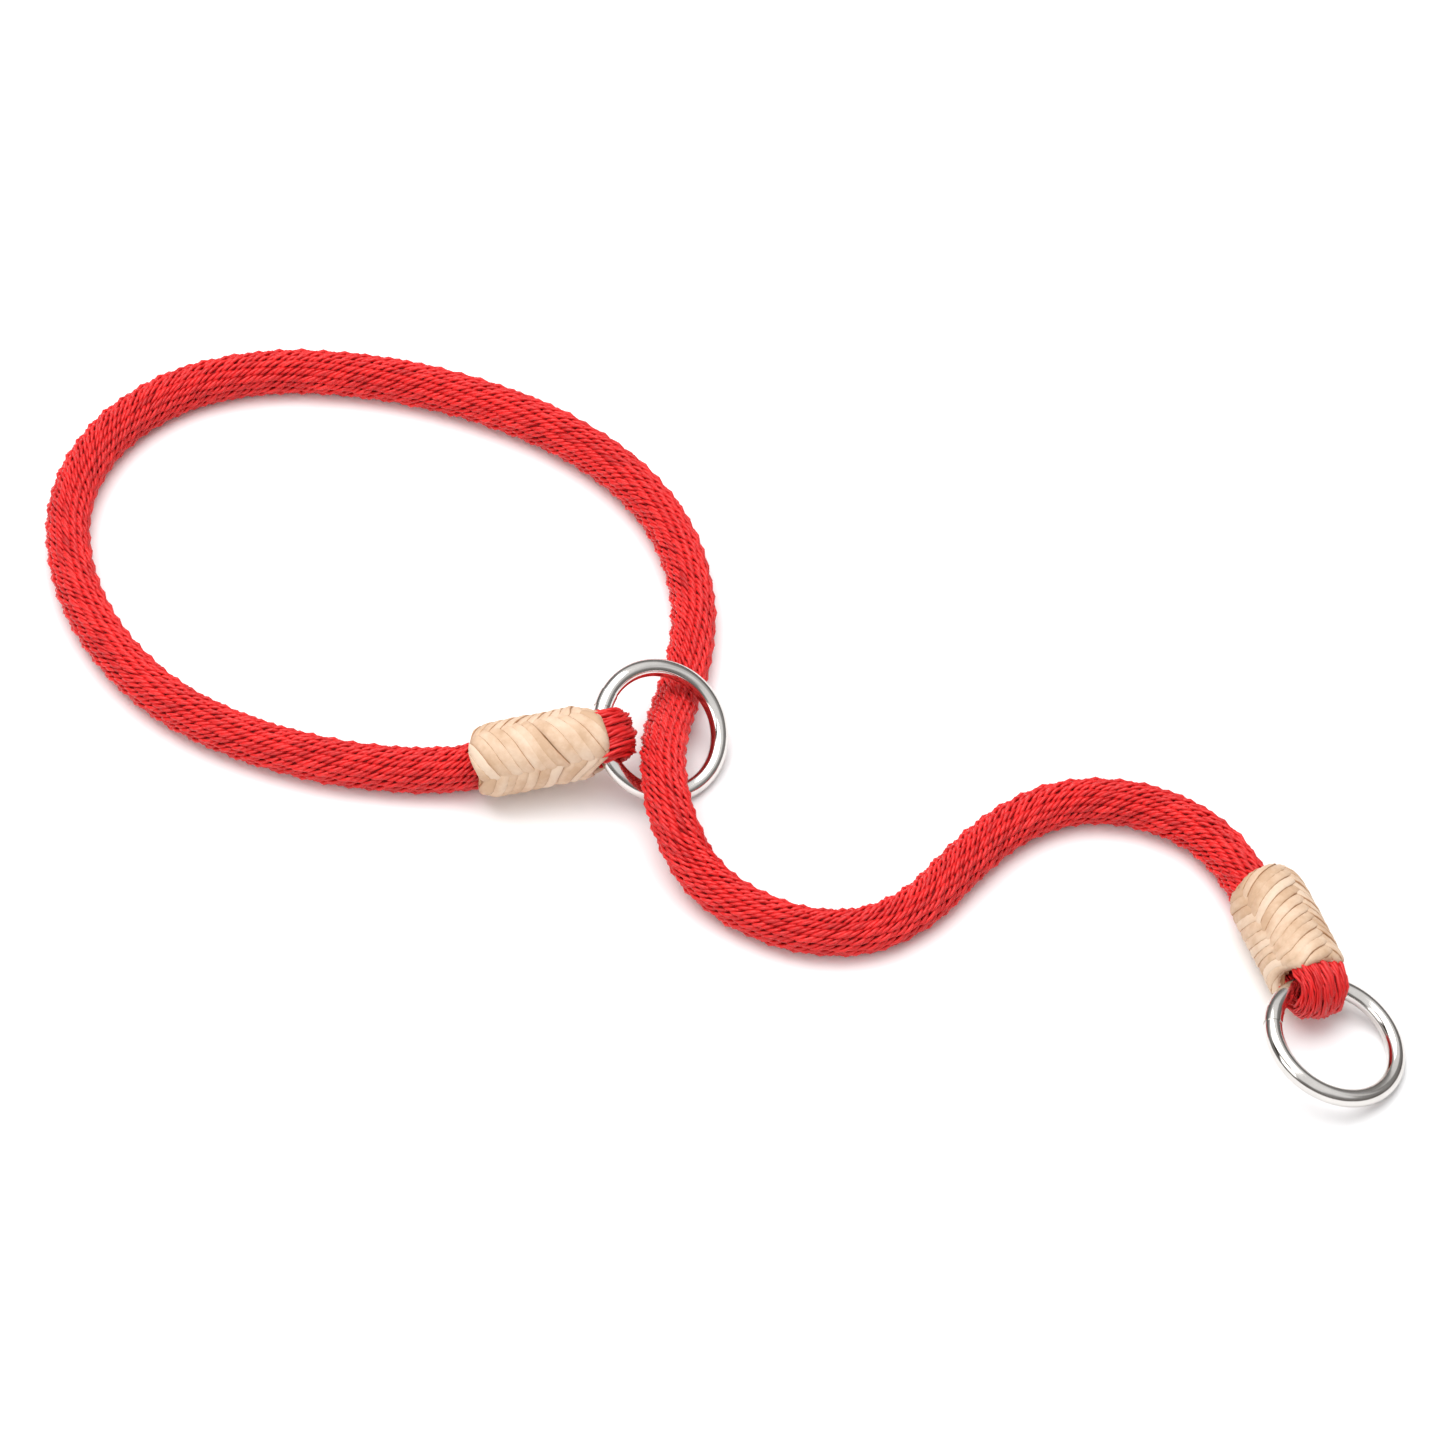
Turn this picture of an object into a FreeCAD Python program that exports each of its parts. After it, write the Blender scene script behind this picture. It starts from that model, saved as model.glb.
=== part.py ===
import FreeCAD, Part
import math
import os

# A rope slip collar: one length of solid-braid rope with a welded ring folded into each end.
# Each fold is whipped with waxed thread and covered with a plaited leather lace. The rope runs
# through the slide ring and makes the noose, and a leash clips to the leash ring.
#
# Frame: millimetres, +Z up, the collar laid on the plane Z = 0, with the two ring ends centred
# on the origin.

# ---- Driving dimensions, in millimetres and degrees ----

RING_BORE = 25.0            # inside diameter of a ring
RING_WIRE = 4.0             # diameter of a ring's wire
WELD_PROUD = 0.15           # how far the butt weld stands out of the wire
WELD_SPAN = 14.0            # degrees of the ring that the weld takes

ROPE_DIAMETER = 10.4        # the rope where it runs free
LEG_SQUEEZE = 3.9           # how much thinner a leg is where the lace clamps it
LEG_SPREAD = 2.1            # how much wider the same leg is
LEG_GAP = 0.5               # between the two legs of a fold
LEG_ROUND = 5.5             # corner radius of the two legs together
CROWN = 5.5                 # thickness of the rope at the crown of the fold
WIRE_PLAY = 0.4             # between a ring's wire and the fold round it
THROAT = 8.0                # from the middle of the wire to where the two legs close again
TAIL_INSET = 3.0            # how far the cut end of the short leg sits inside the mouth

LACE = 2.0                  # thickness of the plaited leather
LACE_EDGE = 0.9             # rounding of the plait's two ends
LACE_SETBACK = 1.0          # between a ring's wire and the plait beside it
LACE_NOTCH = 7.5            # radius of the notch on each side that the wire comes out of
BINDING_LENGTH = 29.0       # length of a plaited binding, from over the wire

THREAD = 0.8                # waxed whipping thread
TURN_GAP = 0.1              # between one turn and the next
THREAD_PLAY = 0.05          # between the thread and what it lies against
TURNS = 12                  # turns of thread in one seizing
SEIZING_SETBACK = 11.0      # from the middle of the ring's wire to the first turn

# Where each fold holds its ring's wire, and how its binding lies. Heading, rise and roll turn
# the binding, and droop is how far the ring hangs below the binding's line.
SLIDE_WIRE = (-71.2, 36.5, 14.5)
SLIDE_TURN = (6.5, 10.0, 32.0)
SLIDE_DROOP = 30.0
SLIDE_WELD = 145.0          # where the weld sits on the ring, from its far side
LEASH_WIRE = (83.0, -28.2, 9.15)
LEASH_TURN = (-70.5, 0.0, -18.5)
LEASH_DROOP = 8.8
LEASH_WELD = -118.0

# The rope's route, from the slide binding round the noose, under and over the slide ring, and
# along the tail to the leash binding. A short straight stub leaves each binding first.
STUB = 5.0
ROUTE = [
    (-116, 34.8, 5.2), (-134, 37.5, 5.2), (-156, 45.7, 5.2), (-173.5, 58, 5.2), (-187, 76, 5.2),
    (-194.5, 95, 5.2), (-196.5, 116, 5.2), (-189.7, 136, 5.2), (-174, 151.3, 5.2),
    (-153, 157.5, 5.2), (-131, 156.5, 5.2), (-109, 151, 5.2), (-86.5, 140.7, 5.2), (-68, 126, 5.2),
    (-55.8, 107.5, 5.2), (-50.6, 86, 5.2), (-51.8, 67, 5.2), (-55.5, 53, 5.2), (-57.5, 40, 10.4),
    (-57.8, 28, 14.1), (-56, 16, 12.4), (-50, 4, 6.8), (-39.5, -5, 5.2), (-26.5, -11, 5.2),
    (-12, -11, 5.2), (-0.5, -3.5, 5.2), (9, 9, 5.2), (19.5, 20, 5.2), (32.5, 26.3, 5.2),
    (46.5, 25.7, 5.2), (57.5, 20.8, 5.2), (65, 14, 5.2),
]
SPLIT = 14                  # the noose ends halfway from this point of the route to the next
RUN_SHARE = 0.45            # share of the shorter run that a bend takes

# ---- Sizes that follow from them ----

ring_radius = (RING_BORE + RING_WIRE) / 2
hole_radius = RING_WIRE / 2 + WIRE_PLAY
leg_thickness = ROPE_DIAMETER - LEG_SQUEEZE
fold_width = ROPE_DIAMETER + LEG_SPREAD
half_stack = leg_thickness + LEG_GAP / 2
crown_centre = hole_radius + CROWN - half_stack
notch_centre = LACE_NOTCH - LACE_SETBACK - RING_WIRE / 2
mouth = BINDING_LENGTH
leg_offset = (LEG_GAP + leg_thickness) / 2
thread_pitch = THREAD + TURN_GAP
groove = THREAD + 2 * THREAD_PLAY
seizing_end = -SEIZING_SETBACK
seizing_start = seizing_end - TURNS * thread_pitch


def vec(x, y, z):
    return FreeCAD.Vector(x, y, z)


def end_placement(wire_at, turn):
    """The frame of a rope end: X along the binding to the ring, Y along the wire, Z across the legs."""
    heading, rise, roll = turn
    return FreeCAD.Placement(vec(*wire_at), FreeCAD.Rotation(heading, -rise, roll))


def prism(outline, width):
    """The outline, drawn in the XZ plane, extruded by half the width to each side."""
    corners = [vec(x, -width / 2, z) for x, z in outline]
    face = Part.Face(Part.makePolygon(corners + corners[:1]))
    return face.extrude(vec(0, width, 0))


def rounded_wire(x, width, height, corner):
    """A rectangle with rounded corners, in the plane at x."""
    y, z = width / 2, height / 2
    iy, iz = y - corner, z - corner
    bow = corner * math.sqrt(0.5)
    edges = []
    for sy, sz in ((1, 1), (-1, 1), (-1, -1), (1, -1)):
        side = vec(x, sy * y, sz * iz)
        top = vec(x, sy * iy, sz * z)
        middle = vec(x, sy * (iy + bow), sz * (iz + bow))
        ends = (side, top) if sy == sz else (top, side)
        edges.append(Part.Arc(ends[0], middle, ends[1]).toShape())
    joined = []
    for arc, following in zip(edges, edges[1:] + edges[:1]):
        joined.append(arc)
        joined.append(Part.LineSegment(arc.Vertexes[-1].Point, following.Vertexes[0].Point).toShape())
    return Part.Wire(joined)


def rounded_bar(start, end, width, height, corner):
    face = Part.Face(rounded_wire(start, width, height, corner))
    return face.extrude(vec(end - start, 0, 0))


def sweep(path, diameter):
    """A round bar along a path."""
    first = path.Edges[0]
    start, along = first.Vertexes[0].Point, first.tangentAt(first.FirstParameter)
    section = Part.Wire(Part.makeCircle(diameter / 2, start, along))
    return path.makePipeShell([section], True, False)


def ring_swing():
    """What the ring's wire sweeps inside the fold as the ring swings about the fold's own line."""
    reach = fold_width
    edge = ring_radius - math.sqrt((ring_radius - hole_radius) ** 2 - reach ** 2 / 4)
    low, high = vec(edge, -reach / 2, 0), vec(edge, reach / 2, 0)
    arc = Part.Arc(low, vec(hole_radius, 0, 0), high).toShape()
    corners = [high, vec(0, reach / 2, 0), vec(0, -reach / 2, 0), low]
    outline = Part.Wire([arc] + Part.makePolygon(corners).Edges)
    return Part.Face(outline).revolve(vec(0, 0, 0), vec(0, 1, 0), 360)


def folded_eye():
    """The rope folded round the wire, its two legs clamped side by side back to the mouth."""
    legs = rounded_bar(-mouth, crown_centre, fold_width, 2 * half_stack, LEG_ROUND)
    upper = Part.makeBox(2, fold_width, half_stack, vec(crown_centre - 1, -fold_width / 2, 0))
    section = Part.Face(rounded_wire(crown_centre, fold_width, 2 * half_stack, LEG_ROUND)).common(upper)
    crown = section.Faces[0].revolve(vec(crown_centre, 0, 0), vec(0, 1, 0), 180)
    eye = legs.fuse(crown).removeSplitter()
    slope = math.asin(hole_radius / THROAT)
    touch = (-hole_radius * math.sin(slope), hole_radius * math.cos(slope))
    slit = LEG_GAP / 2
    back = -mouth - 1
    upper_side = [(back, slit), (-THROAT, slit), touch]
    lower_side = [(x, -z) for x, z in reversed(upper_side)]
    eye = eye.cut(prism(upper_side + lower_side, 2 * fold_width)).cut(ring_swing())
    short_leg = Part.makeBox(TAIL_INSET, 2 * fold_width, 2 * half_stack, vec(-mouth, -fold_width, 0))
    first, last = seizing_start - groove, seizing_end + groove
    seat = rounded_bar(first, last, fold_width + 2, 2 * half_stack + 2, LEG_ROUND)
    waist = rounded_bar(
        first, last, fold_width - 2 * groove, 2 * (half_stack - groove), LEG_ROUND - groove
    )
    return eye.cut(short_leg).cut(seat.cut(waist))


def seizing():
    """Turns of waxed thread round both legs, in the waist that they pull into the rope."""
    inset = THREAD_PLAY + THREAD / 2
    turns = []
    for i in range(TURNS):
        x = seizing_start + (i + 0.5) * thread_pitch
        path = rounded_wire(x, fold_width - 2 * inset, 2 * (half_stack - inset), LEG_ROUND - inset)
        turns.append(sweep(path, THREAD))
    return Part.makeCompound(turns)


def binding():
    """The plaited lace as one sleeve over both legs, notched on each side where the wire comes out."""
    outer = rounded_bar(-mouth, 0, fold_width + 2 * LACE, 2 * (half_stack + LACE), LEG_ROUND + LACE)
    ends = [e for e in outer.Edges if abs(e.BoundBox.XLength) < 1e-6]
    outer = outer.makeFillet(LACE_EDGE, ends)
    bore = rounded_bar(-mouth - 1, 1, fold_width, 2 * half_stack, LEG_ROUND)
    across = vec(0, 1, 0)
    notch = Part.makeCylinder(LACE_NOTCH, 2 * fold_width, vec(notch_centre, -fold_width, 0), across)
    return outer.cut(bore).cut(notch)


def ring(droop, weld_at):
    """A welded ring whose wire passes through the end's origin, hanging below the binding's line."""
    centre = vec(ring_radius, 0, 0)
    body = Part.makeTorus(ring_radius, RING_WIRE / 2)
    bead = Part.makeTorus(
        ring_radius, RING_WIRE / 2 + WELD_PROUD, vec(0, 0, 0), vec(0, 0, 1), 0, 360, WELD_SPAN
    )
    bead.rotate(vec(0, 0, 0), vec(0, 0, 1), weld_at - WELD_SPAN / 2)
    whole = body.fuse(bead)
    whole.translate(centre)
    whole.rotate(vec(0, 0, 0), vec(0, 1, 0), droop)
    return whole


def stub_points(place):
    """Where the rope leaves a binding's mouth, and the end of its straight stub."""
    leaving = place.multVec(vec(-mouth, 0, -leg_offset))
    after = place.multVec(vec(-mouth - STUB, 0, -leg_offset))
    return leaving, after


def bends(points):
    """For each inner point of a route, the arc that rounds it: its start, middle, end and radius."""
    found = []
    for before, here, after in zip(points, points[1:], points[2:]):
        back, ahead = before - here, after - here
        share = RUN_SHARE * min(back.Length, ahead.Length)
        turn = math.pi - back.getAngle(ahead)
        radius = share / math.tan(turn / 2)
        back.normalize()
        ahead.normalize()
        inward = (back + ahead).normalize()
        middle = here + inward * (radius / math.cos(turn / 2) - radius)
        found.append((here + back * share, middle, here + ahead * share, radius))
    return found


def cord(start, arcs, end):
    """The rope's tube from start to end, straight runs joined by tangent arcs, and its length."""
    edges = []
    at = start
    for first, middle, last, radius in arcs:
        edges.append(Part.LineSegment(at, first).toShape())
        edges.append(Part.Arc(first, middle, last).toShape())
        at = last
    edges.append(Part.LineSegment(at, end).toShape())
    path = Part.Wire(edges)
    return sweep(path, ROPE_DIAMETER), path.Length


def report_cord(name, solid, length, arcs):
    expected = math.pi * ROPE_DIAMETER ** 2 / 4 * length
    radii = ", ".join(f"{arc[3]:.0f}" for arc in arcs)
    share = solid.Volume / expected
    print(f"{name}: length {length:.1f}, volume {share:.4f} of section x length, radii {radii}")


def report_ring(name, place, droop):
    lean = math.radians(droop)
    centre = place.multVec(vec(ring_radius * math.cos(lean), 0, -ring_radius * math.sin(lean)))
    normal = place.Rotation.multVec(vec(math.sin(lean), 0, math.cos(lean)))
    wire = place.Rotation.multVec(vec(0, -1, 0))
    print(f"{name}: wire at {place.Base}, centre {centre}, normal {normal}, swing axis {wire}")


slide_place = end_placement(SLIDE_WIRE, SLIDE_TURN)
leash_place = end_placement(LEASH_WIRE, LEASH_TURN)

route = list(stub_points(slide_place))
route += [vec(*point) for point in ROUTE]
route += reversed(stub_points(leash_place))
arcs = bends(route)
split_at = SPLIT + 2
halfway = (route[split_at] + route[split_at + 1]) * 0.5
noose_rope, noose_length = cord(route[0], arcs[:split_at], halfway)
tail_rope, tail_length = cord(halfway, arcs[split_at:], route[-1])

nodes = {"noose_rope": noose_rope, "tail_rope": tail_rope}
for end, place, droop, weld in (
    ("slide", slide_place, SLIDE_DROOP, SLIDE_WELD),
    ("leash", leash_place, LEASH_DROOP, LEASH_WELD),
):
    for piece, solid in (
        ("eye", folded_eye()),
        ("seizing", seizing()),
        ("binding", binding()),
        ("ring", ring(droop, weld)),
    ):
        solid.Placement = place.multiply(solid.Placement)
        nodes[f"{end}_{piece}"] = solid

os.makedirs("parts", exist_ok=True)
for name, shape in nodes.items():
    shape.exportStep(f"parts/{name}.step")
    print(f"{name}: {len(shape.Solids)} solids, valid {shape.isValid()}, {shape.Volume:.0f} mm3")

report_cord("noose_rope", noose_rope, noose_length, arcs[:split_at])
report_cord("tail_rope", tail_rope, tail_length, arcs[split_at:])
report_ring("slide_ring", slide_place, SLIDE_DROOP)
report_ring("leash_ring", leash_place, LEASH_DROOP)
for point in (route[0], route[1], halfway, route[-2], route[-1]):
    print("route", point)
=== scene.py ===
"""A rope slip collar: braided rope, two plaited leather bindings, two welded rings.

Metres, +Z up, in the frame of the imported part.
"""

import math

import bmesh
import bpy
import numpy as np
from mathutils import Matrix, Vector


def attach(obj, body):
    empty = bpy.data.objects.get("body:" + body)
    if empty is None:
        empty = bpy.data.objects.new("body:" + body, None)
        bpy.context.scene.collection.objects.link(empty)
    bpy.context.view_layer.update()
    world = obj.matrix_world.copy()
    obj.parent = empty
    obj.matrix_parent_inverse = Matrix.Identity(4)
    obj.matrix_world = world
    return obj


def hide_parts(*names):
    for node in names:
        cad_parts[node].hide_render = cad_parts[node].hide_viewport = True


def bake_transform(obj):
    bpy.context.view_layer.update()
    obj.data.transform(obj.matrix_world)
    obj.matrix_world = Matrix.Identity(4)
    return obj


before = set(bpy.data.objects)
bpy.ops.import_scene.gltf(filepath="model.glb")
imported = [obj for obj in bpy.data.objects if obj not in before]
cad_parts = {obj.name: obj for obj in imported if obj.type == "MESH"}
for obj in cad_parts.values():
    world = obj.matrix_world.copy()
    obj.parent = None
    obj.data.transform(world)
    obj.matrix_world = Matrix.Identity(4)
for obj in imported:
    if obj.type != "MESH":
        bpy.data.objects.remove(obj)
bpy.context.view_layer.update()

rng = np.random.default_rng(11)

# ---- Camera ----
AIM = (-0.0444, 0.0532, 0.0)
CAMERA_DISTANCE = 1.36
CAMERA_ELEVATION = 50.0
CAMERA_LENS = 150.0
SENSOR = 36.0
CARD_DIRECTION = (-0.66, -0.20, 0.72)       # towards a dark card that the rings reflect
FLOOR_HALF = 6.0
FLOOR_DROP = 0.00005        # how far the floor lies below z = 0

# ---- Rope ----
ROPE_DIAMETER = 0.0104
# From the slide binding round the noose, over the slide ring, and along the tail to the leash
# binding.
ROUTE = [
    (-0.09927, 0.03517, 0.00654), (-0.10417, 0.03461, 0.00567), (-0.116, 0.0348, 0.0052),
    (-0.134, 0.0375, 0.0052), (-0.156, 0.0457, 0.0052), (-0.1735, 0.058, 0.0052),
    (-0.187, 0.076, 0.0052), (-0.1945, 0.095, 0.0052), (-0.1965, 0.116, 0.0052),
    (-0.1897, 0.136, 0.0052), (-0.174, 0.1513, 0.0052), (-0.153, 0.1575, 0.0052),
    (-0.131, 0.1565, 0.0052), (-0.109, 0.151, 0.0052), (-0.0865, 0.1407, 0.0052),
    (-0.068, 0.126, 0.0052), (-0.0558, 0.1075, 0.0052), (-0.0506, 0.086, 0.0052),
    (-0.0518, 0.067, 0.0052), (-0.0555, 0.053, 0.0052), (-0.0575, 0.040, 0.0104),
    (-0.0578, 0.028, 0.0141), (-0.056, 0.016, 0.0124), (-0.050, 0.004, 0.0068),
    (-0.0395, -0.005, 0.0052), (-0.0265, -0.011, 0.0052), (-0.012, -0.011, 0.0052),
    (-0.0005, -0.0035, 0.0052), (0.009, 0.009, 0.0052), (0.0195, 0.020, 0.0052),
    (0.0325, 0.0263, 0.0052), (0.0465, 0.0257, 0.0052), (0.0575, 0.0208, 0.0052),
    (0.065, 0.014, 0.0052), (0.07060, 0.00348, 0.00583), (0.07227, -0.00123, 0.00583),
]
NOOSE_SHARE = 0.565         # how much of the rope is drawn as the noose's stitches
HIDDEN_END = 0.004          # rope that goes on inside a binding

# ---- Ends ----
# Where a fold holds its ring's wire, and the binding's heading, rise and roll.
ENDS = {
    "slide": ((-0.0712, 0.0365, 0.0145), (6.5, 10.0, 32.0)),
    "leash": ((0.083, -0.0282, 0.00915), (-70.5, 0.0, -18.5)),
}
MOUTH = 0.0290              # from the wire to the plait's far end
NOTCH = 0.0075              # radius of the notch in the plait that the wire comes out of
NOTCH_CENTRE = 0.0045
FOLD_WIDTH = 0.0125
LEG_THICKNESS = 0.0065
CROWN = 0.0054              # thickness of the rope at the crown of the fold
# The fold's middle line round the wire, along the binding and across the legs.
FOLD = [
    (-0.0275, -0.0035), (-0.016, -0.0035), (-0.007, -0.0035), (0.0005, -0.0044), (0.0051, -0.0031),
    (0.0051, 0.0031), (0.0005, 0.0044), (-0.007, 0.0035), (-0.016, 0.0035), (-0.0255, 0.0035),
]
REST = 0.00003              # the height of the lowest yarns

# ---- Braid ----
BRAID_COLUMNS = 16
BRAID_PITCH = 0.0050
BRAID_SLANT = 30.0          # degrees that a yarn leans away from the rope's line
BRAID_OVERLAP = 0.00050     # how far a yarn dives under the next column on each side
BRAID_DRIFT = 0.05          # how far the columns wind round the rope for their length
YARNS = 3                   # yarns in a stitch
STITCH_FILL = 0.93          # share of a stitch's pitch that its yarns take
STITCH_DOME = 0.00018       # how much the middle yarn of a stitch stands out
YARN_WIDTH = 0.00048        # half the width of a yarn
YARN_HEIGHT = 0.00050       # half its height
YARN_BURY = 0.8             # share of that height by which a yarn's middle lies under the surface
YARN_DIVE = 0.00170         # how deep its ends go
YARN_BOW = 0.03             # how much a stitch bows, as a share of its reach
ARCH_POWER = 0.8            # the flatter the arch of a yarn, the smaller
SWELL_POWER = 0.35          # the blunter a yarn's ends, the smaller
YARN_SIDES = np.radians([90.0, 22.0, -50.0, -130.0, 158.0])
ROPE_STATIONS = [0.08, 0.28, 0.50, 0.72, 0.92]
EYE_STATIONS = [0.07, 0.2, 0.35, 0.5, 0.65, 0.8, 0.93]
# Chances: shares of the pitch, the slope, the reach and the dome, and then of the tone.
STITCH_SEED = 5
STITCH_WANDER = 0.03
YARN_WANDER = 0.02
SLOPE_CHANCE = 0.05
REACH_CHANCE = 0.06
DOME_CHANCE = 0.3
STITCH_TONE = 0.6
YARN_TONE = 0.4
CORE_INSET = 0.0013         # how far the core lies under the surface
ROPE_CORE = (20, 0.0015)    # sides of the core's tube, and the step between its rings
EYE_CORE = (24, 0.0008)

# ---- Folded eyes ----
EYE_COLUMNS = 14
EYE_PITCH = 0.0085
EYE_SLANT = 15.0
EYE_YARN_WIDTH = 0.00040
EYE_ROUND = 2.4             # how square the fold's section is: an ellipse is 2
EYE_SHOWN = 0.0140          # from the crown to the last stitch that is drawn
CROWN_SPAN = 0.0075         # how far the crown's shape reaches along the fold
CROWN_TAPER = 0.13          # how much narrower the crown is than the legs
CLAMP_START = 0.0085        # from the crown to where the lace starts to pull the legs in
CLAMP = 0.0008              # how far it pulls them in

# ---- Plaited lace ----
LACE_ROWS = 4
LACE_PITCH = 0.00250
LACE_TILT = 0.52            # how far a strip leans along the binding for its run round it
LACE_THICK = 0.0008
LACE_HALF_WIDTH = 0.00150
LACE_ROUND = 2.2
LACE_PHASE = {"slide": 0.0060, "leash": 0.0110}     # where the first row starts round the binding
LACE_REACH = {"slide": 0.0024, "leash": 0.0}        # how much further it goes above and below
LACE_SEED = {"slide": 3, "leash": 4}
LACE_WIDE = 0.01655 / 2
LACE_HIGH = 0.01755 / 2
LACE_STATIONS = 13
SPARE_TURNS = 3             # turns that go on past the plait's ends
LACE_STRETCH = 0.012        # the length of plait that follows the saddle
STRETCH_LIMIT = 1.5         # beyond the end the plait follows it by no more than this share
# Across a strip and through it, as shares of its half width and its thickness.
LACE_PROFILE = np.array([
    (-1.0, -0.35), (-0.98, 0.05), (-0.80, 0.34), (-0.4, 0.47), (0.0, 0.52), (0.4, 0.50),
    (0.80, 0.36), (0.98, 0.05), (1.0, -0.35), (0.5, -0.5), (-0.5, -0.5),
])
LACE_UNDERSIDE = 0.1        # the profile below this height is a strip's underside, which gets the full painted shade
LIP = 0.0006                # how far before its ends the plait starts to turn in
LIP_TURN = 0.0012           # how deep it turns in
LIP_CURL = 0.0006           # over what length it curls
LIP_CURL_SHARE = 0.6
LIP_WAVE = 0.0005           # how uneven its mouth is
LIP_WAVES = 3
LIP_WAVE_START = 0.8
RING_WAVE_SHARE = 0.6       # how uneven its ring end is, as a share of that
MOUTH_TAPER = (0.0042, 0.0013)      # length of the narrowing at an end, and its depth
RING_TAPER = (0.0022, 0.0006)
STRIP_RUN = 1.36            # length of a strip round the binding, in rows
STRIP_WANDER = 0.00012
STRIP_BEND = 0.0006
STRIP_BEND_CHANCE = (0.6, 0.4)      # mean and spread of the bend's share
STRIP_ARCH_POWER = 0.55
STRIP_DIVE = 0.00125        # how deep a strip's ends go
STRIP_BURY = 0.0004         # how far its middle lies under the surface
STRIP_LIFT_CHANCE = 0.00006
STRIP_NARROW = 0.22         # how much narrower its ends are
STRIP_WIDTH_CHANCE = 0.03
STRIP_ROLL = 0.00020        # how far the one edge of a strip rises and the other sinks
EDGE_POWER = 3              # the painted shade at a strip's edges is narrower, the larger
END_SHADE = 1.1              # how dark the painted shade is at its ends, where it dives under its neighbours
LINING_AROUND = 72
LINING_ALONG = 30
LINING_INSET = 0.0002
LINING_TOP = -0.0009
LINING_BOTTOM = -0.0021
# How far past its end, and how high, the lining rolls over.
LINING_ROLL = [(0.0004, -0.0013), (0.0003, -0.0019)]
LINING_LIP = 0.0008         # the rolled end of the lining, which shows
# how much painted shade the lining's lips get
LINING_LIP_SHADE = 0.3


# ---------------------------------------------------------------- lines and frames

def read_spline(name, points):
    """The points of a smooth line along a route, read from its curve with no bevel."""
    data = bpy.data.curves.new(name, "CURVE")
    data.dimensions = "3D"
    data.resolution_u = 32
    spline = data.splines.new("NURBS")
    spline.points.add(len(points) - 1)
    for point, place in zip(spline.points, points):
        point.co = (*place, 1.0)
    spline.order_u = 3
    spline.use_endpoint_u = True
    holder = bpy.data.objects.new(name, data)
    mesh = bpy.data.meshes.new_from_object(holder)
    line = np.array([v.co for v in mesh.vertices], float)
    bpy.data.meshes.remove(mesh)
    bpy.data.objects.remove(holder)
    bpy.data.curves.remove(data)
    return line


class Line:
    """A line with the frame that a strand's place along, around and above it is measured in."""

    def __init__(self, points, up):
        steps = np.linalg.norm(np.diff(points, axis=0), axis=1)
        keep = np.concatenate([[True], steps > 1e-7])
        self.points = points[keep]
        steps = np.linalg.norm(np.diff(self.points, axis=0), axis=1)
        self.along = np.concatenate([[0.0], np.cumsum(steps)])
        self.length = self.along[-1]
        self.forward = unit(np.gradient(self.points, self.along, axis=0))
        level = np.cross(self.forward, up)
        self.side = unit(level)
        self.out = np.cross(self.side, self.forward)

    def read(self, table, at):
        return np.stack([np.interp(at, self.along, table[:, k]) for k in range(3)], axis=-1)

    def place(self, at, across, outward):
        """Points at a length along the line, moved across it and outward from it."""
        beyond = at - np.clip(at, 0.0, self.length)
        return (
            self.read(self.points, at)
            + self.read(self.forward, at) * beyond[..., None]
            + self.read(self.side, at) * across[..., None]
            + self.read(self.out, at) * outward[..., None]
        )


def unit(v):
    return v / np.maximum(np.linalg.norm(v, axis=-1, keepdims=True), 1e-12)


def end_matrix(end):
    place, (heading, rise, roll) = ENDS[end]
    return (
        Matrix.Translation(place)
        @ Matrix.Rotation(math.radians(heading), 4, "Z")
        @ Matrix.Rotation(math.radians(-rise), 4, "Y")
        @ Matrix.Rotation(math.radians(roll), 4, "X")
    )


def rounded(angle, power):
    """Cosine and sine of an oval that is squarer than an ellipse when the power is over 2."""
    c, s = np.cos(angle), np.sin(angle)
    return np.sign(c) * np.abs(c) ** (2 / power), np.sign(s) * np.abs(s) ** (2 / power)


# ---------------------------------------------------------------- meshes

def link(obj):
    bpy.context.scene.collection.objects.link(obj)
    return obj


def mesh_object(name, points, faces, material, attributes=None):
    mesh = bpy.data.meshes.new(name)
    mesh.from_pydata(points.tolist(), [], faces)
    for key, values in (attributes or {}).items():
        layer = mesh.attributes.new(key, "FLOAT_VECTOR", "POINT")
        layer.data.foreach_set("vector", np.ascontiguousarray(values, np.float32).ravel())
    tidy = bmesh.new()
    tidy.from_mesh(mesh)
    bmesh.ops.recalc_face_normals(tidy, faces=tidy.faces)
    tidy.to_mesh(mesh)
    tidy.free()
    mesh.polygons.foreach_set("use_smooth", np.ones(len(mesh.polygons), bool))
    mesh.materials.append(material)
    return link(bpy.data.objects.new(name, mesh))


def tube_faces(stations, sides, first=0):
    """Quads round a tube of rings, and a cap at each end."""
    faces = []
    for a in range(stations - 1):
        for k in range(sides):
            j = (k + 1) % sides
            lower, upper = first + a * sides, first + (a + 1) * sides
            faces.append((lower + k, lower + j, upper + j, upper + k))
    last = first + (stations - 1) * sides
    faces.append(tuple(range(first, first + sides)))
    faces.append(tuple(range(last, last + sides)))
    return faces


def strand_faces(count, stations, sides):
    """Faces of many alike strands: rings joined by quads, and a point at each end."""
    per = stations * sides + 2
    k = np.arange(sides)
    j = (k + 1) % sides
    quads = [
        np.stack([a * sides + k, a * sides + j, (a + 1) * sides + j, (a + 1) * sides + k], axis=1)
        for a in range(stations - 1)
    ]
    quads = np.concatenate(quads)
    last = (stations - 1) * sides
    tips = np.concatenate([
        np.stack([np.full(sides, stations * sides), j, k], axis=1),
        np.stack([np.full(sides, stations * sides + 1), last + k, last + j], axis=1),
    ])
    offsets = (np.arange(count) * per)[:, None, None]
    faces = (quads[None] + offsets).reshape(-1, 4).tolist()
    faces += (tips[None] + offsets).reshape(-1, 3).tolist()
    return faces


# ---------------------------------------------------------------- the braid

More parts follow.
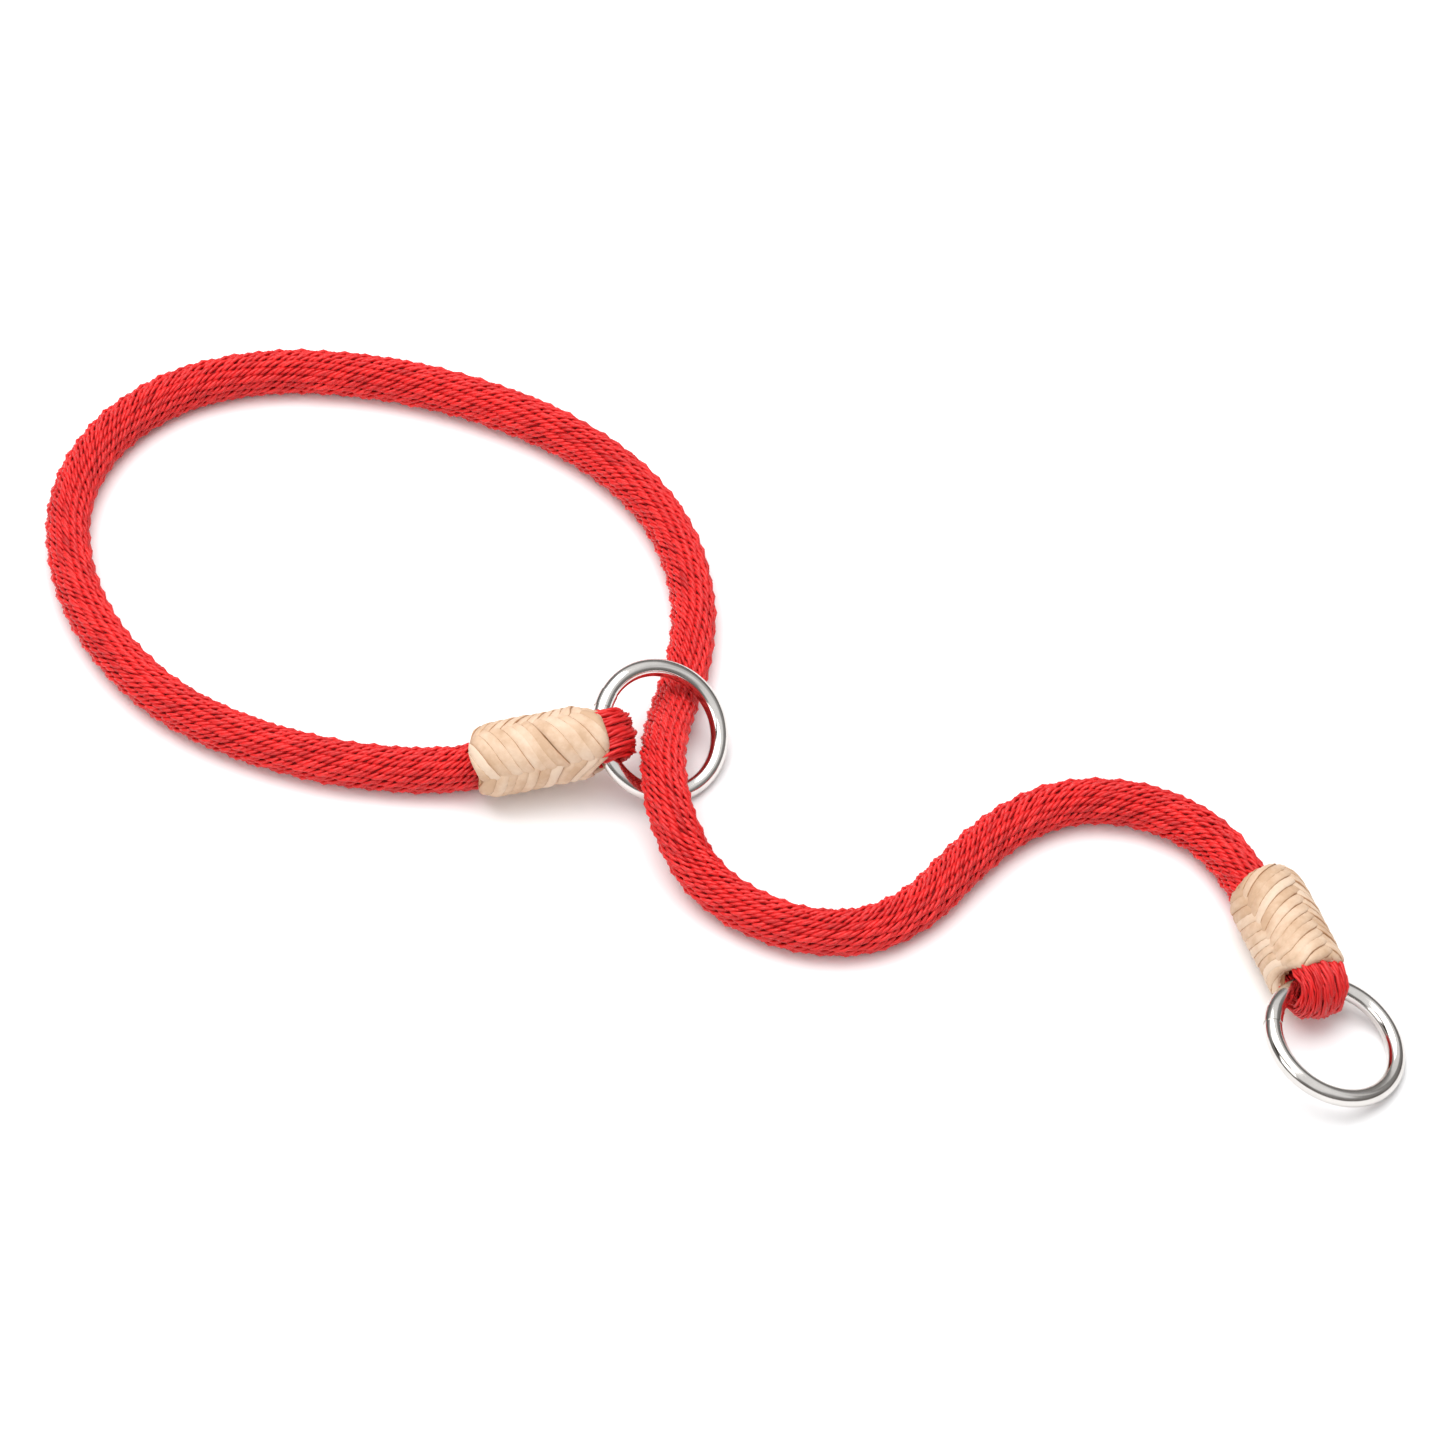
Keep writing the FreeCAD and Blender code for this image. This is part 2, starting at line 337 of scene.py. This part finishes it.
def braid_strands(length, columns, pitch, slant, column_width, drift):
    """Where every yarn of the braid lies: its middle, slope and own chances, one row a yarn.

    A stitch is a few yarns side by side, all of one hand, between two columns of stitches.
    """
    rows = int(math.ceil(length / pitch)) + 1
    column, row, yarn = np.meshgrid(
        np.arange(columns), np.arange(rows), np.arange(YARNS), indexing="ij"
    )
    column, row, yarn = column.ravel(), row.ravel(), yarn.ravel()
    from_middle = yarn - (YARNS - 1) / 2
    stagger = np.where(column % 2 == 0, 0.0, 0.5) * pitch
    along = row * pitch + stagger + from_middle * pitch * STITCH_FILL / YARNS
    keep = along < length
    column, row, from_middle, along = column[keep], row[keep], from_middle[keep], along[keep]
    stitch_chances = np.random.default_rng(STITCH_SEED).normal(size=(columns, rows + 1, 3))
    stitch = stitch_chances[column, row]
    own = rng.normal(size=(len(along), 4))
    return {
        "along": along + pitch * (STITCH_WANDER * stitch[:, 0] + YARN_WANDER * own[:, 0]),
        "around": (column + 0.5) * column_width + drift * along,
        "slope": np.radians(slant) * (1 + SLOPE_CHANCE * (stitch[:, 1] + own[:, 1])),
        "reach": (column_width + 2 * BRAID_OVERLAP) * (1 + REACH_CHANCE * own[:, 2]),
        "lift": 1.0 - 2 * np.abs(from_middle) + DOME_CHANCE * stitch[:, 2],
        "tone": STITCH_TONE * stitch[:, 2] + YARN_TONE * own[:, 3],
    }


def braid_rings(strands, stations, width):
    """The ring points and end points of each yarn as (along, around, above the rope's surface)."""
    n, m, p = len(strands["along"]), len(stations), len(YARN_SIDES)
    t = np.array([*stations, 0.0, 1.0])[None, :]
    slope, reach = strands["slope"][:, None], strands["reach"][:, None]
    run = reach * (t - 0.5)
    # a stitch is bowed: it lies more along the rope in its middle than where it dives
    bow = -YARN_BOW * reach * np.sin(2 * math.pi * t)
    around = strands["around"][:, None] - run
    along = strands["along"][:, None] + (run + bow) / np.tan(slope)
    arch = np.maximum(np.sin(math.pi * t), 0.0) ** ARCH_POWER
    dome = STITCH_DOME * strands["lift"][:, None] * arch
    above = -YARN_DIVE * (1 - arch) - YARN_BURY * YARN_HEIGHT + dome
    side, up = np.cos(YARN_SIDES), np.sin(YARN_SIDES)
    swell = np.maximum(np.sin(math.pi * t[:, :m]), 0.0)[..., None] ** SWELL_POWER
    across = width * swell * side[None, None, :]
    rings = np.zeros((n, m, p, 3))
    rings[..., 0] = along[:, :m, None] + across * np.sin(slope)[..., None]
    rings[..., 1] = around[:, :m, None] + across * np.cos(slope)[..., None]
    rings[..., 2] = above[:, :m, None] + YARN_HEIGHT * swell * up[None, None, :]
    tips = np.stack([along[:, m:], around[:, m:], above[:, m:]], axis=-1)
    lengths = reach / np.sin(slope)
    marks = np.zeros((n, m * p + 2, 3))
    marks[:, : m * p, 0] = np.repeat(t[:, :m] * lengths, p, axis=1)
    marks[:, : m * p, 1] = np.tile(side * width, m)[None, :]
    marks[:, m * p :, 0] = t[:, m:] * lengths
    marks[..., 2] = strands["tone"][:, None]
    points = np.concatenate([rings.reshape(n, m * p, 3), tips], axis=1)
    return points, marks


def braid_object(name, points, marks, stations, place, material):
    """A braid's mesh, its yarns put round their line by the function place."""
    flat = place(points.reshape(-1, 3))
    faces = strand_faces(len(points), len(stations), len(YARN_SIDES))
    return mesh_object(name, flat, faces, material, {"weave": marks.reshape(-1, 3)})


def core_object(name, line, perimeter, place, size, material):
    """The inside of a braid: a tube that lies a little under its yarns, its dark colour painted
    shade for the pits between them.
    """
    sides, step = size
    stations = int(line.length / step)
    along = np.linspace(0.0, line.length, stations)
    around = np.arange(sides) / sides * perimeter
    grid = np.stack(np.meshgrid(along, around, indexing="ij"), axis=-1).reshape(-1, 2)
    points = np.column_stack([grid, np.full(len(grid), -CORE_INSET)])
    return mesh_object(name, place(points), tube_faces(stations, sides), material)


# ---------------------------------------------------------------- materials

def new_material(name):
    material = bpy.data.materials.new(name)
    material.use_nodes = True
    tree = material.node_tree
    shader = tree.nodes["Principled BSDF"]
    return material, tree, shader


def node(tree, kind, **settings):
    made = tree.nodes.new(kind)
    for key, value in settings.items():
        if key in made.inputs:
            made.inputs[key].default_value = value
        else:
            setattr(made, key, value)
    return made


def texture(tree, kind, **settings):
    """A texture that is laid out in the piece's own space."""
    made = node(tree, kind, **settings)
    coordinates = tree.nodes.new("ShaderNodeTexCoord")
    tree.links.new(coordinates.outputs["Object"], made.inputs["Vector"])
    return made


def ramp(tree, factor, stops):
    """The socket that holds the colour at a factor, from stops of (position, colour)."""
    made = tree.nodes.new("ShaderNodeValToRGB")
    elements = made.color_ramp.elements
    while len(elements) < len(stops):
        elements.new(0.5)
    for element, (position, colour) in zip(elements, stops):
        element.position = position
        element.color = (*colour, 1.0)
    tree.links.new(factor, made.inputs[0])
    return made.outputs[0]


def greys(*stops):
    return [(position, (level, level, level)) for position, level in stops]


def spread(tree, value, from_range, to_range):
    """Maps a value from one range to another."""
    made = tree.nodes.new("ShaderNodeMapRange")
    for side, limits in (("From", from_range), ("To", to_range)):
        made.inputs[f"{side} Min"].default_value = limits[0]
        made.inputs[f"{side} Max"].default_value = limits[1]
    tree.links.new(value, made.inputs["Value"])
    return made.outputs[0]


def calculate(tree, operation, first, second, third=None):
    """A sum on sockets and numbers."""
    made = node(tree, "ShaderNodeMath", operation=operation)
    for socket, value in zip(made.inputs, (first, second, third)):
        if isinstance(value, bpy.types.NodeSocket):
            tree.links.new(value, socket)
        elif value is not None:
            socket.default_value = value
    return made.outputs[0]


def weave_marks(tree):
    """What a strand's mesh says of each of its points."""
    weave = node(tree, "ShaderNodeAttribute", attribute_name="weave")
    parts = tree.nodes.new("ShaderNodeSeparateXYZ")
    tree.links.new(weave.outputs["Vector"], parts.inputs[0])
    return weave.outputs["Vector"], parts.outputs


def add_bump(tree, shader, height, strength, distance):
    bump = node(tree, "ShaderNodeBump", Strength=strength, Distance=distance)
    tree.links.new(height, bump.inputs["Height"])
    tree.links.new(bump.outputs[0], shader.inputs["Normal"])


def set_gloss(shader, roughness, specular):
    shader.inputs["Roughness"].default_value = roughness
    shader.inputs["Specular IOR Level"].default_value = specular


def rope_material():
    material, tree, shader = new_material("red_braid")
    links = tree.links
    weave, parts = weave_marks(tree)
    tone = spread(tree, parts["Z"], (-2.2, 2.2), (0.0, 1.0))
    colours = ramp(tree, tone, [
        (0.0, (0.52, 0.0075, 0.0085)), (0.5, (0.72, 0.0125, 0.0130)), (1.0, (0.86, 0.024, 0.022)),
    ])
    blotch = texture(tree, "ShaderNodeTexNoise", Scale=60.0, Detail=2.0)
    shade = ramp(tree, blotch.outputs["Fac"], greys((0.3, 0.80), (0.7, 1.0)))
    mix = node(tree, "ShaderNodeMix", data_type="RGBA", blend_type="MULTIPLY")
    mix.inputs["Factor"].default_value = 0.35
    links.new(colours, mix.inputs["A"])
    links.new(shade, mix.inputs["B"])
    links.new(mix.outputs["Result"], shader.inputs["Base Color"])
    # fine filaments, lightly twisted round each yarn
    twist = node(tree, "ShaderNodeVectorMath", operation="MULTIPLY")
    twist.inputs[1].default_value = (0.55, 1.0, 0.0)
    links.new(weave, twist.inputs[0])
    filament = node(tree, "ShaderNodeTexWave", Scale=1100.0, Distortion=1.2, Detail=1.0)
    filament.bands_direction = "DIAGONAL"
    links.new(twist.outputs[0], filament.inputs["Vector"])
    add_bump(tree, shader, filament.outputs["Fac"], 0.28, 0.00009)
    set_gloss(shader, 0.42, 0.42)
    shader.inputs["Sheen Weight"].default_value = 0.12
    shader.inputs["Sheen Roughness"].default_value = 0.4
    shader.inputs["Sheen Tint"].default_value = (1.0, 0.55, 0.5, 1.0)
    return material


def fibre_material(name, scale, detail, stops, bump, roughness):
    """Plain fibres: a fine noise that gives both the colour and the relief."""
    material, tree, shader = new_material(name)
    fibres = texture(tree, "ShaderNodeTexNoise", Scale=scale, Detail=detail)
    colours = ramp(tree, fibres.outputs["Fac"], stops)
    tree.links.new(colours, shader.inputs["Base Color"])
    add_bump(tree, shader, fibres.outputs["Fac"], *bump)
    shader.inputs["Roughness"].default_value = roughness
    return material


def leather_material(name, low, middle, high, crease_shade):
    material, tree, shader = new_material(name)
    links = tree.links
    _, parts = weave_marks(tree)
    mottle = texture(tree, "ShaderNodeTexNoise", Scale=210.0, Detail=4.0, Roughness=0.6)
    shifted = calculate(tree, "MULTIPLY_ADD", parts["Z"], 0.10, mottle.outputs["Fac"])
    colours = ramp(tree, shifted, [(0.30, low), (0.50, middle), (0.72, high)])
    # painted shade: strips darken at their edges, ends and undersides, and the lining where the
    # plait hides it, here more and there less
    shade_noise = texture(tree, "ShaderNodeTexNoise", Scale=330.0, Detail=2.0)
    uneven = calculate(tree, "MULTIPLY_ADD", shade_noise.outputs["Fac"], 0.8, -0.4)
    wear_and_shade = calculate(tree, "ADD", parts["Y"], uneven)
    crease_shaded = node(tree, "ShaderNodeMix", data_type="RGBA", blend_type="MIX")
    crease_shaded.inputs["B"].default_value = (*crease_shade, 1.0)
    links.new(ramp(tree, wear_and_shade, greys((0.66, 0.0), (0.95, 0.80))), crease_shaded.inputs["Factor"])
    links.new(colours, crease_shaded.inputs["A"])
    links.new(crease_shaded.outputs["Result"], shader.inputs["Base Color"])
    grain = texture(tree, "ShaderNodeTexVoronoi", Scale=1500.0)
    pores = texture(tree, "ShaderNodeTexNoise", Scale=600.0, Detail=3.0)
    height = calculate(tree, "ADD", grain.outputs["Distance"], pores.outputs["Fac"])
    add_bump(tree, shader, height, 0.35, 0.00012)
    set_gloss(shader, 0.58, 0.3)
    return material


def nickel_material():
    material, tree, shader = new_material("nickel_plate")
    scuffs = texture(tree, "ShaderNodeTexNoise", Scale=90.0, Detail=5.0, Roughness=0.65)
    wear_and_shade = scuffs.outputs["Fac"]
    tree.links.new(spread(tree, wear_and_shade, (0.3, 0.8), (0.07, 0.20)), shader.inputs["Roughness"])
    colours = ramp(tree, wear_and_shade, [(0.25, (0.60, 0.575, 0.55)), (0.75, (0.74, 0.715, 0.69))])
    tree.links.new(colours, shader.inputs["Base Color"])
    ripple = texture(tree, "ShaderNodeTexNoise", Scale=260.0, Detail=2.0)
    add_bump(tree, shader, ripple.outputs["Fac"], 0.12, 0.0001)
    shader.inputs["Metallic"].default_value = 1.0
    return material


def floor_material():
    material, tree, shader = new_material("white_card")
    paper = texture(tree, "ShaderNodeTexNoise", Scale=30.0, Detail=4.0)
    colours = ramp(
        tree, paper.outputs["Fac"], [(0.3, (0.955, 0.955, 0.96)), (0.7, (0.965, 0.965, 0.97))]
    )
    tree.links.new(colours, shader.inputs["Base Color"])
    set_gloss(shader, 0.9, 0.1)
    return material


# ---------------------------------------------------------------- camera, light and floor

def make_camera():
    data = bpy.data.cameras.new("camera")
    data.lens = CAMERA_LENS
    data.sensor_width = SENSOR
    camera = link(bpy.data.objects.new("camera", data))
    lean = math.radians(CAMERA_ELEVATION)
    back = Vector((0.0, -math.cos(lean), math.sin(lean)))
    camera.location = Vector(AIM) + back * CAMERA_DISTANCE
    camera.rotation_euler = (math.radians(90.0) - lean, 0.0, 0.0)
    bpy.context.scene.camera = camera


def make_world():
    """A studio that the rings reflect: pale below, dim at eye height and white overhead."""
    world = bpy.data.worlds.new("studio")
    bpy.context.scene.world = world
    world.use_nodes = True
    tree = world.node_tree
    background = tree.nodes["Background"]
    direction = tree.nodes.new("ShaderNodeTexCoord").outputs["Generated"]
    parts = tree.nodes.new("ShaderNodeSeparateXYZ")
    tree.links.new(direction, parts.inputs[0])
    panels = node(tree, "ShaderNodeTexNoise", Scale=2.3, Detail=1.0, Roughness=0.3)
    tree.links.new(direction, panels.inputs["Vector"])
    height = calculate(tree, "MULTIPLY_ADD", panels.outputs["Fac"], 0.40, parts.outputs["Z"])
    sky = ramp(tree, height, [
        (0.16, (0.55, 0.53, 0.52)), (0.30, (0.13, 0.115, 0.105)), (0.48, (0.22, 0.21, 0.205)),
        (0.72, (0.32, 0.315, 0.31)), (0.84, (0.90, 0.90, 0.90)), (1.0, (1.0, 1.0, 1.0)),
    ])
    # a dark card stands to the left of the collar
    towards = node(tree, "ShaderNodeVectorMath", operation="DOT_PRODUCT")
    towards.inputs[1].default_value = CARD_DIRECTION
    tree.links.new(direction, towards.inputs[0])
    card = ramp(tree, towards.outputs["Value"], greys((0.90, 0.0), (0.94, 1.0)))
    mixed = node(tree, "ShaderNodeMix", data_type="RGBA")
    mixed.inputs["B"].default_value = (0.035, 0.024, 0.018, 1.0)
    tree.links.new(card, mixed.inputs["Factor"])
    tree.links.new(sky, mixed.inputs["A"])
    tree.links.new(mixed.outputs["Result"], background.inputs["Color"])
    background.inputs["Strength"].default_value = 1.0


def area_light(name, place, size, power):
    data = bpy.data.lights.new(name, "AREA")
    data.shape = "RECTANGLE"
    data.size, data.size_y = size
    data.energy = power
    lamp = link(bpy.data.objects.new(name, data))
    lamp.location = place
    lamp.rotation_euler = (Vector(AIM) - Vector(place)).to_track_quat("-Z", "Y").to_euler()


def make_floor():
    corners = np.array([(-1, -1, 0), (1, -1, 0), (1, 1, 0), (-1, 1, 0)], float) * FLOOR_HALF
    floor = mesh_object("floor", corners, [(0, 1, 2, 3)], floor_material())
    floor.location.z = -FLOOR_DROP


# ---------------------------------------------------------------- rope

def settle(points):
    """Flattens what would lie below the floor."""
    points[:, 2] = np.maximum(points[:, 2], REST)
    return points


def make_rope(red, core):
    line = Line(read_spline("route", ROUTE), (0.0, 0.0, 1.0))
    radius = ROPE_DIAMETER / 2
    perimeter = 2 * math.pi * radius

    def place(points):
        angle = points[:, 1] / radius
        reach = radius + points[:, 2]
        return settle(line.place(points[:, 0], reach * np.sin(angle), reach * np.cos(angle)))

    strands = braid_strands(
        line.length + 2 * HIDDEN_END, BRAID_COLUMNS, BRAID_PITCH, BRAID_SLANT,
        perimeter / BRAID_COLUMNS, BRAID_DRIFT,
    )
    points, marks = braid_rings(strands, ROPE_STATIONS, YARN_WIDTH)
    points[..., 0] -= HIDDEN_END
    in_noose = strands["along"] < NOOSE_SHARE * line.length
    braids = [
        braid_object(name, points[shown], marks[shown], ROPE_STATIONS, place, red)
        for name, shown in (("noose_braid", in_noose), ("tail_braid", ~in_noose))
    ]
    rope = core_object("rope_core", line, perimeter, place, ROPE_CORE, core)
    for piece in (rope, *braids):
        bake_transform(piece)
    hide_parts("noose_rope", "tail_rope")


# ---------------------------------------------------------------- the folds

def make_eye(end, red, core):
    matrix = np.array(end_matrix(end))
    line = Line(read_spline(f"{end}_fold", [(x, 0.0, z) for x, z in FOLD]), (0.0, 1.0, 0.0))
    perimeter = math.pi * (FOLD_WIDTH + LEG_THICKNESS) / 2
    middle = line.length / 2

    def place(points):
        wide, thick = rounded(points[:, 1] / perimeter * 2 * math.pi, EYE_ROUND)
        from_crown = np.abs(points[:, 0] - middle)
        crown = np.exp(-((from_crown / CROWN_SPAN) ** 4))
        half = LEG_THICKNESS / 2 + (CROWN - LEG_THICKNESS) / 2 * crown
        # the lace pulls the legs in, and the crown is a little narrower than they are
        clamped = np.clip((from_crown - CLAMP_START) / CLAMP_START, 0.0, 0.5)
        lift = points[:, 2] - CLAMP * 2 * clamped
        breadth = FOLD_WIDTH / 2 * (1 - CROWN_TAPER * crown)
        flat = line.place(points[:, 0], thick * (half + lift), wide * (breadth + lift))
        return settle(flat @ matrix[:3, :3].T + matrix[:3, 3])

    strands = braid_strands(
        line.length, EYE_COLUMNS, EYE_PITCH, EYE_SLANT, perimeter / EYE_COLUMNS, 0.0,
    )
    points, marks = braid_rings(strands, EYE_STATIONS, EYE_YARN_WIDTH)
    shown = np.abs(strands["along"] - middle) < EYE_SHOWN
    braid = braid_object(f"{end}_eye_braid", points[shown], marks[shown], EYE_STATIONS, place, red)
    inner = core_object(f"{end}_eye_core", line, perimeter, place, EYE_CORE, core)
    for piece in (inner, braid):
        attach(piece, "line")
        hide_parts(f"{end}_eye")


# ---------------------------------------------------------------- the plaited lace

def taper(past, size):
    """How deep the plait's narrowing is, so far into it."""
    length, depth = size
    return depth * np.clip(past / length, 0.0, 1.0) ** 2


def lace_place(end):
    """What puts (along, around, above) points on the binding, and the binding's perimeter."""
    matrix = np.array(end_matrix(end))
    perimeter = math.pi * (LACE_WIDE + LACE_HIGH)
    low = -MOUTH + LIP

    def place(points):
        x, around, lift = points[:, 0], points[:, 1], points[:, 2]
        angle = around / perimeter * 2 * math.pi
        # the ring end is a saddle: it reaches over the wire and stops short of it on each side
        level = np.abs(LACE_HIGH * np.sin(angle))
        saddle = np.minimum(NOTCH_CENTRE - np.sqrt(np.maximum(NOTCH ** 2 - level ** 2, 0.0)), 0.0)
        saddle = saddle + LACE_REACH[end] * np.sin(angle) ** 2
        x = x + saddle * np.clip((x + LACE_STRETCH) / LACE_STRETCH, 0.0, STRETCH_LIMIT)
        high = -LIP + saddle
        # the plait's ends turn in over the rope
        wave = LIP_WAVE * np.sin(LIP_WAVES * angle + LIP_WAVE_START)
        below = np.maximum(low + wave - x, 0.0)
        beyond = np.maximum(x - high - RING_WAVE_SHARE * wave, 0.0)
        curl = np.tanh(beyond / LIP_CURL) - np.tanh(below / LIP_CURL)
        x = x + below - beyond + LIP_CURL * LIP_CURL_SHARE * curl
        lift = lift - LIP_TURN * np.tanh((below + beyond) / LIP_TURN)
        lift = lift - taper(low + MOUTH_TAPER[0] - x, MOUTH_TAPER)
        lift = lift - taper(x - high + RING_TAPER[0], RING_TAPER)
        wide, tall = rounded(angle, LACE_ROUND)
        local = np.column_stack([x, wide * (LACE_WIDE + lift), tall * (LACE_HIGH + lift)])
        return settle(local @ matrix[:3, :3].T + matrix[:3, 3])

    return place, perimeter


def lace_strip(row, turn, phase, row_width, chance):
    """One strip of the plait: its points, rings first and then its two tips, and their marks."""
    lean = 1.0 if row % 2 == 0 else -1.0
    t = np.linspace(0.0, 1.0, LACE_STATIONS)
    middle = -MOUTH + (turn + 0.5 + 0.5 * (row % 2)) * LACE_PITCH + chance.normal(0, STRIP_WANDER)
    run = t * STRIP_RUN - (STRIP_RUN - 1) / 2
    bend = STRIP_BEND * np.sin(math.pi * t) * chance.normal(*STRIP_BEND_CHANCE)
    x = middle + lean * (run - 0.5) * row_width * LACE_TILT + bend
    around = (row + run) * row_width + phase
    arch = np.sin(math.pi * t) ** STRIP_ARCH_POWER
    rise = -STRIP_DIVE * (1 - arch) - STRIP_BURY + chance.normal(0, STRIP_LIFT_CHANCE)
    narrow = 1 - STRIP_NARROW * (1 - np.sin(math.pi * t)) ** 2
    half = LACE_HALF_WIDTH * (1 + chance.normal(0, STRIP_WIDTH_CHANCE)) * narrow
    slope = math.atan(LACE_TILT)
    sideways, through = LACE_PROFILE[None, :, 0], LACE_PROFILE[None, :, 1]
    across = half[:, None] * sideways
    ring = np.zeros((LACE_STATIONS, len(LACE_PROFILE), 3))
    ring[..., 0] = x[:, None] + across * math.cos(slope)
    ring[..., 1] = around[:, None] - lean * across * math.sin(slope)
    ring[..., 2] = rise[:, None] + LACE_THICK * through + STRIP_ROLL * sideways
    tone = chance.normal()
    # painted shade: darker towards a strip's edges, at its ends where it dives under the next
    # strips, and on its underside
    edge_shade = np.maximum(np.abs(sideways) ** EDGE_POWER, (1 - arch)[:, None] * END_SHADE)
    mark = np.zeros(ring.shape)
    mark[..., 0] = t[:, None]
    mark[..., 1] = np.maximum(edge_shade, np.where(through < LACE_UNDERSIDE, 1.0, 0.0))
    mark[..., 2] = tone
    points = np.concatenate([ring.reshape(-1, 3), [ring[0].mean(axis=0), ring[-1].mean(axis=0)]])
    marks = np.concatenate([mark.reshape(-1, 3), [[0, 1, tone], [1, 1, tone]]])
    return points, marks


def make_binding(end, leather, lining):
    place, perimeter = lace_place(end)
    chance = np.random.default_rng(LACE_SEED[end])
    strips = [
        lace_strip(row, turn, LACE_PHASE[end], perimeter / LACE_ROWS, chance)
        for row in range(LACE_ROWS)
        for turn in range(-1, int(MOUTH / LACE_PITCH) + SPARE_TURNS)
    ]
    points = np.concatenate([strip for strip, _ in strips])
    marks = np.concatenate([mark for _, mark in strips])
    faces = strand_faces(len(strips), LACE_STATIONS, len(LACE_PROFILE))
    plait = mesh_object(f"{end}_plait", place(points), faces, leather, {"weave": marks})
    for piece in (plait, make_lining(end, place, perimeter, lining)):
        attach(piece, "line")
        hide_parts(f"{end}_binding")


def make_lining(end, place, perimeter, material):
    """The underside of the plait: a sleeve with rolled ends, seen at its lips."""
    low, high = -MOUTH + LINING_INSET, -LINING_INSET
    outer = np.linspace(low, high, LINING_ALONG)
    section = [(x, LINING_TOP) for x in outer]
    section += [(high + past, lift) for past, lift in LINING_ROLL]
    section += [(x, LINING_BOTTOM) for x in outer[::-1]]
    section += [(low - past, lift) for past, lift in LINING_ROLL[::-1]]
    around = np.arange(LINING_AROUND) / LINING_AROUND * perimeter
    points = np.array([(x, q, lift) for q in around for x, lift in section])
    sides = len(section)
    faces = []
    for a in range(LINING_AROUND):
        b = (a + 1) % LINING_AROUND
        for k in range(sides):
            j = (k + 1) % sides
            faces.append((a * sides + k, a * sides + j, b * sides + j, b * sides + k))
    hidden = (points[:, 0] > low + LINING_LIP) & (points[:, 0] < high - LINING_LIP)
    # painted shade: full where the plait hides the lining, less at its lips
    marks = np.zeros((len(points), 3))
    marks[:, 1] = np.where(hidden, 1.0, LINING_LIP_SHADE)
    return mesh_object(f"{end}_plait_lining", place(points), faces, material, {"weave": marks})


# ---------------------------------------------------------------- the scene

def colour_part(part, material):
    """Gives a CAD part its material in place of the one that it came with."""
    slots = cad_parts[part].data.materials
    slots.clear()
    slots.append(material)


make_camera()
red = rope_material()
# the core is painted a darker red than the yarns, as the shade in the pits between them
core = fibre_material(
    "red_core_pit_shade", 900.0, 2.0, [(0.3, (0.28, 0.0036, 0.004)), (0.7, (0.46, 0.0070, 0.0075))],
    (0.5, 0.0002), 0.85,
)
make_rope(red, core)
for end in ENDS:
    make_eye(end, red, core)

# the last colour of each leather is its painted crease shade
leather = leather_material(
    "tan_lace", (0.57, 0.375, 0.240), (0.67, 0.475, 0.330), (0.74, 0.57, 0.43), (0.36, 0.165, 0.07)
)
lining = leather_material(
    "tan_lining", (0.50, 0.29, 0.14), (0.64, 0.40, 0.22), (0.76, 0.52, 0.32), (0.24, 0.11, 0.045)
)
for end in ENDS:
    make_binding(end, leather, lining)

nickel = nickel_material()
thread = fibre_material(
    "waxed_thread", 1400.0, 3.0, [(0.3, (0.42, 0.34, 0.24)), (0.7, (0.66, 0.56, 0.42))],
    (0.4, 0.00008), 0.5,
)
for end in ENDS:
    colour_part(f"{end}_ring", nickel)
    colour_part(f"{end}_seizing", thread)

make_floor()
make_world()
area_light("overhead", place=(-0.25, 0.25, 1.5), size=(1.6, 1.6), power=23.5)
area_light("front_left", place=(-1.1, -0.9, 1.0), size=(0.9, 0.9), power=7.0)
bpy.context.scene.view_settings.view_transform = "Standard"
